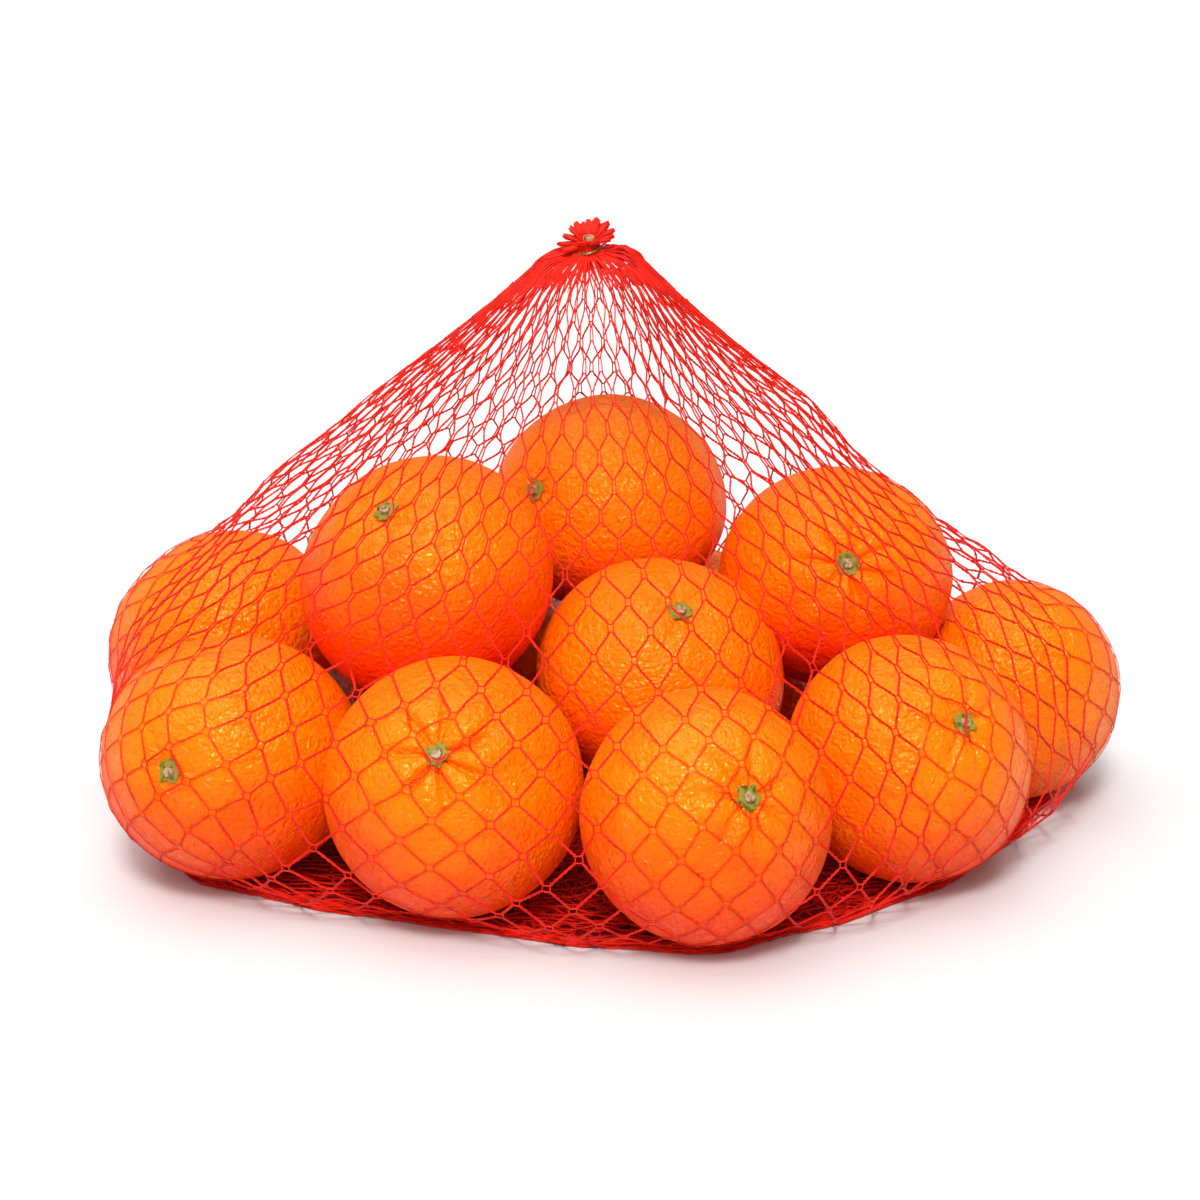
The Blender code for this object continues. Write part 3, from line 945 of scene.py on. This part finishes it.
BAND_STEPS, BAND_RINGS = 240, 32
BAND_OUTER, BAND_INNER = 0.975, 0.10     # size beside the rim
BAND_LEVEL, BAND_CRUMPLE, BAND_THICKNESS = 0.7 * MM, 0.9 * MM, 0.3 * MM
BAND_CRUMPLE_SIZE, BAND_CELLS_PER_METRE = 5 * MM, 330

deselect_all()
bpy.ops.mesh.primitive_grid_add(x_subdivisions=BAND_STEPS, y_subdivisions=BAND_RINGS, size=1.0)
band = bpy.context.object
band.name = "net_floor_band_and_painted_shade"
rim_middle = rim.mean(0)
for vertex in band.data.vertices:
    around, inward = (vertex.co.x + 0.5) % 1, vertex.co.y + 0.5
    edge = np.array([np.interp(around * HEM_POINTS, np.arange(HEM_POINTS + 1),
                               np.append(rim[:, k], rim[0, k])) for k in range(3)])
    size = BAND_OUTER + (BAND_INNER - BAND_OUTER) * inward
    place = Vector(rim_middle + (edge - rim_middle) * size)
    crumple = noise.noise(Vector((place.x, place.y, 0)) / BAND_CRUMPLE_SIZE)
    place.z = BAND_LEVEL + BAND_CRUMPLE * max(crumple, -0.3)
    vertex.co = place
bpy.ops.object.mode_set(mode="EDIT")
bpy.ops.mesh.select_all(action="SELECT")
bpy.ops.mesh.remove_doubles(threshold=0.01 * MM)
bpy.ops.object.mode_set(mode="OBJECT")
thick = band.modifiers.new("layers", "SOLIDIFY")
thick.thickness, thick.offset = BAND_THICKNESS, 0
band.data.shade_smooth()
pressed_net_and_shade, shader, wire = new_material("pressed_net_and_painted_shade", Roughness=0.5, Specular_IOR_Level=0.3)
place = wire.node("ShaderNodeTexCoord", output=3)
threads = wire.node("ShaderNodeTexVoronoi", {"feature": "DISTANCE_TO_EDGE"}, {
    "Vector": place, "Scale": BAND_CELLS_PER_METRE, "Randomness": 1.0})
# painted shade: the cells between the threads are near black, for the shade in the hollows under
# the pile; the threads keep the net's red
colour = wire.node("ShaderNodeValToRGB", {"stops": (
    (0.06, (0.62, 0.004, 0.005, 1)), (0.16, (0.10, 0.001, 0.001, 1)))}, {"Fac": threads})
plug(colour, shader, "Base Color")
plug_relief((1.0 - threads * 5.0).clamped(), shader, 0.8, 0.4 * MM)
band.data.materials.append(pressed_net_and_shade)
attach(band, "root")
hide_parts("net_bag")


# -------------------------------------------------------------------- the tuft
# Above the clip the cut ends of all the yarns splay out in flat bunches; below
# it the same yarns fan out and run into the meshes of the net.
STRAND_RADIUS = 0.22 * MM
TUFT_BASE = Vector((-6.2, 25.2, 146.6)) * MM
STRANDS_PER_BUNCH, STRAND_LAYERS = 9, 2
# heading, rise, length in mm, half width of the tip in mm
BUNCHES = ((-150, -6, 7.0, 1.0), (-178, 2, 7.4, 1.2), (166, 18, 6.6, 1.5), (146, 36, 6.6, 1.2),
           (124, 40, 7.2, 0.9), (104, 44, 6.6, 0.8), (88, 46, 7.2, 0.8), (64, 45, 7.8, 1.2),
           (41, 35, 8.2, 1.3), (20, 25, 7.8, 1.2), (3, 18, 6.8, 1.0), (-16, 16, 6.0, 1.0),
           (-52, 20, 4.0, 1.2), (-90, 24, 3.4, 1.2), (-122, 16, 4.2, 1.2))
STRAND_POINTS = 16
FAN_SPREAD = 16                 # in degrees, how far a bunch fans out below the clip
REACH_DOWN, REACH_RAGGED, REACH_MORE_AT_SIDES = 1.1, 1.2, 1.4   # in rows of the net
NECK_FILL, NECK_FILL_VARIES = 0.45, 0.68   # how far from the middle a yarn runs in the neck

strand_paths, strand_faces = [], []
strand = 0
for heading, rise, length, half_width in BUNCHES:
    way = place_by_heading(heading, rise)
    sideways = Vector((0, 0, 1)).cross(way).normalized()
    thickness = way.cross(sideways)
    for layer in range(STRAND_LAYERS):
        for fibre in range(STRANDS_PER_BUNCH):
            across = 2 * (fibre + 0.5 * layer) / (STRANDS_PER_BUNCH - 0.5) - 1
            ragged = noise.noise(Vector((strand * 0.73, 5.1, 2.2)))
            level = noise.noise(Vector((strand * 1.31, 1.7, 8.4)))
            turn = math.radians(heading + FAN_SPREAD * across)
            step = (turn / (2 * math.pi)) % 1
            step = np.interp(step, turn_edges / (2 * math.pi), top_share) * NET_COLUMNS
            reach_down = REACH_DOWN + REACH_RAGGED * ragged \
                + REACH_MORE_AT_SIDES * math.cos(turn) ** 2
            low, mid = net_point(step, reach_down), net_point(step, 0.5 * reach_down)
            inner = NECK_RADIUS * (NECK_FILL + NECK_FILL_VARIES * abs(math.cos(strand * 2.4)))
            ring = Vector((math.cos(turn), math.sin(turn), 0)) * inner
            bend = TUFT_BASE + ring * 0.8
            reach_out = length * MM * (1 - 0.16 * across * across + 0.10 * ragged)
            stack = thickness * (layer * 0.42 + 0.2 * level) * MM
            half = TUFT_BASE + way * reach_out * 0.55 \
                + sideways * across * half_width * 0.85 * MM + stack
            tip = TUFT_BASE + way * reach_out + sideways * across * half_width * MM + stack \
                - Vector((0, 0, 0.35 * MM * (1 + level)))
            guides = [np.array(g) for g in (low, mid, NECK + ring, bend, half, tip)]
            spots = np.cumsum([0] + [np.linalg.norm(b - a) for a, b in zip(guides, guides[1:])])
            even = np.linspace(0, spots[-1], 4 * STRAND_POINTS)
            path = np.stack([np.interp(even, spots, [g[k] for g in guides])
                             for k in range(3)], -1)
            for _ in range(6):
                path[1:-1] = (path[:-2] + path[1:-1] * 2 + path[2:]) / 4
            path = path[np.linspace(0, len(path) - 1, STRAND_POINTS).round().astype(int)]
            strand_paths.append(path)
            strand_faces.append(np.repeat(np.array(sideways)[None], STRAND_POINTS, 0))
            strand += 1
strand_paths, strand_faces = np.array(strand_paths), np.array(strand_faces)
strand_faces = np.cross(strand_faces, np.gradient(strand_paths, axis=1))
taper = np.ones(STRAND_POINTS)
taper[:5], taper[-1] = (0.3, 0.5, 0.7, 0.85, 0.95), 0.8
tuft = yarn_mesh("tuft_yarns", strand_paths, unit(strand_faces), STRAND_RADIUS * taper[None],
                 6, False)
tuft.data.materials.append(net_red)
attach(tuft, "root")
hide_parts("tuft")


# -------------------------------------------------------------------- the clip
# A short length of flattened brass-plated wire, closed round the neck of the
# net so that its two ends overlap at the back.
CLIP_CENTRE = Vector((-6.4, 24.9, 145.5)) * MM
CLIP_RADIUS = 3.1 * MM
CLIP_HALF_HEIGHT, CLIP_HALF_DEPTH = 0.42 * MM, 0.34 * MM
CLIP_OVERLAP = math.radians(50)
CLIP_TILT = (math.radians(9), math.radians(-12))
CLIP_STEPS, CLIP_SIDES = 72, 12
CLIP_OPENS, CLIP_ENDS_PART = 0.28 * MM, 0.9 * MM   # the ends pass beside each other

deselect_all()
bpy.ops.mesh.primitive_cylinder_add(vertices=CLIP_SIDES, radius=1.0, depth=2.0)
clip = bpy.context.object
clip.name = "clip_wire"
bpy.ops.object.mode_set(mode="EDIT")
ring_mesh = bmesh.from_edit_mesh(clip.data)
uprights = [e for e in ring_mesh.edges if abs(e.verts[0].co.z - e.verts[1].co.z) > 1]
bmesh.ops.subdivide_edges(ring_mesh, edges=uprights, cuts=CLIP_STEPS, use_grid_fill=True)
bmesh.update_edit_mesh(clip.data)
bpy.ops.object.mode_set(mode="OBJECT")
tilt = Matrix.Rotation(CLIP_TILT[1], 3, "Y") @ Matrix.Rotation(CLIP_TILT[0], 3, "X")
for vertex in clip.data.vertices:
    x, y, z = vertex.co
    share = (z + 1) / 2
    turn = math.radians(90) - CLIP_OVERLAP / 2 + share * (2 * math.pi + CLIP_OVERLAP)
    out = CLIP_RADIUS + CLIP_OPENS * (share - 0.5) + x * CLIP_HALF_DEPTH
    up = y * CLIP_HALF_HEIGHT + CLIP_ENDS_PART * (share - 0.5) ** 3 * 4
    vertex.co = CLIP_CENTRE + tilt @ Vector((out * math.cos(turn), out * math.sin(turn), up))
clip.data.shade_smooth()
brass, shader, tarnish = mottled_material("clip_brass", 900.0, (
    (0.35, (0.20, 0.12, 0.03, 1)), (0.65, (0.46, 0.33, 0.12, 1))), Metallic=1.0)
plug((0.30 + tarnish * 0.25).clamped(), shader, "Roughness")
clip.data.materials.append(brass)
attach(clip, "root")
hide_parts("clip")


# -------------------------------------------------------------------- the core
# A narrow strip of tan paper tape rolled up and caught in the middle of the
# yarns; its rolled end stands up out of the tuft.
CORE_CENTRE = Vector((-5.8, 24.6, 146.3)) * MM
CORE_HEIGHT, CORE_OUTER, CORE_INNER = 3.0 * MM, 1.35 * MM, 0.35 * MM
TAPE_THICKNESS, TAPE_TURNS, TAPE_STEPS = 0.22 * MM, 1.7, 48
TAPE_START, TAPE_CRUMPLE = math.radians(-60), 0.12 * MM

deselect_all()
bpy.ops.mesh.primitive_grid_add(x_subdivisions=TAPE_STEPS, y_subdivisions=6, size=1.0)
core = bpy.context.object
core.name = "tape_roll"
for vertex in core.data.vertices:
    share, height = vertex.co.x + 0.5, vertex.co.y + 0.5
    turn = TAPE_START + share * 2 * math.pi * TAPE_TURNS
    radius = CORE_INNER + (CORE_OUTER - CORE_INNER) * share
    crumple = TAPE_CRUMPLE * noise.noise(Vector((share * 6, height * 2, 4.4)))
    vertex.co = CORE_CENTRE + Vector((
        (radius + crumple) * math.cos(turn), (radius + crumple) * math.sin(turn),
        (height - 0.15) * CORE_HEIGHT * (0.92 + 0.12 * share)))
thick = core.modifiers.new("tape", "SOLIDIFY")
thick.thickness, thick.offset = TAPE_THICKNESS, 0
core.data.shade_smooth()
tan_tape = mottled_material("tan_tape", 700.0, (
    (0.35, (0.30, 0.15, 0.05, 1)), (0.65, (0.62, 0.38, 0.18, 1))), Roughness=0.6)[0]
core.data.materials.append(tan_tape)
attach(core, "root")
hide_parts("core")
